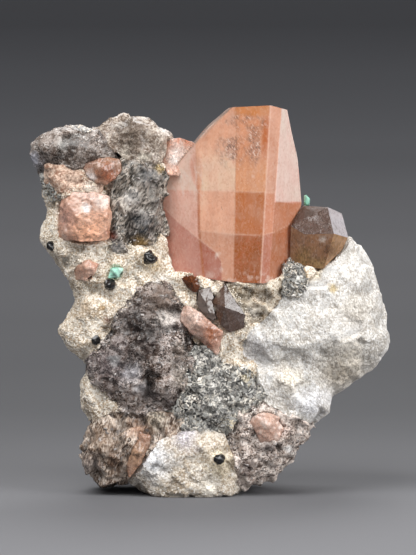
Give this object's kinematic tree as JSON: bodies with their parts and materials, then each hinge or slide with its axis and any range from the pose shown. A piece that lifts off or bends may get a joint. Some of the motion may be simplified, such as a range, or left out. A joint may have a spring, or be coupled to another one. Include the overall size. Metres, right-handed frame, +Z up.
{
  "type": "topaz crystal specimen on matrix",
  "caption": "Large sherry-coloured topaz crystal standing on a loose piece of white feldspar and sugary albite rock with smoky quartz, small topazes and fluorite.",
  "frame": {"origin": "on the flat foot of the rock, under the middle of the stone", "axes": "+Z up, +X to the right as the stone is looked at, +Y away from the viewer, into the stone"},
  "size_m": [0.0892, 0.0456, 0.0978],
  "materials": {
    "topaz": "clear to cloudy sherry and peach crystal, glossy faces",
    "smoky_quartz": "smoky brown clear crystal, glossy faces",
    "smoky_quartz_mass": "broken smoky quartz, glassy and grey-brown",
    "feldspar": "white granular feldspar with a dull broken surface",
    "peach_feldspar": "peach granular feldspar",
    "albite": "sugary cream albite",
    "mica": "silver-grey and black flaky mica",
    "fluorite": "green clear fluorite",
    "black_crystal": "black glossy crystal"
  },
  "bodies": {
    "root": {"albite_cap": "albite", "albite_matrix": "albite", "black_crystal_by_fluorite": "black_crystal", "black_crystal_foot": "black_crystal", "black_crystal_left_edge": "black_crystal", "black_crystal_lower": "black_crystal", "black_crystal_middle": "black_crystal", "feldspar_block": "feldspar", "feldspar_foot": "feldspar", "feldspar_peach": "peach_feldspar", "fluorite_left": "fluorite", "fluorite_right": "fluorite", "mica_patch": "mica", "mica_patch_right": "mica", "mica_sheaf": "mica", "quartz_vein": "smoky_quartz_mass", "smoky_quartz_column": "smoky_quartz_mass", "smoky_quartz_foot": "smoky_quartz", "smoky_quartz_foot_left": "smoky_quartz", "smoky_quartz_lower_left": "smoky_quartz_mass", "smoky_quartz_lower_right": "smoky_quartz_mass", "smoky_quartz_mass": "smoky_quartz_mass", "smoky_quartz_red_brown": "smoky_quartz", "smoky_quartz_right": "smoky_quartz", "smoky_quartz_top": "smoky_quartz_mass", "smoky_quartz_upper_left": "smoky_quartz_mass", "topaz_block": "topaz", "topaz_centre": "topaz", "topaz_left_small": "topaz", "topaz_lower_left": "topaz", "topaz_lower_right": "topaz", "topaz_main": "topaz", "topaz_tabular": "topaz", "topaz_upper_left": "topaz"}
  },
  "joints": []
}
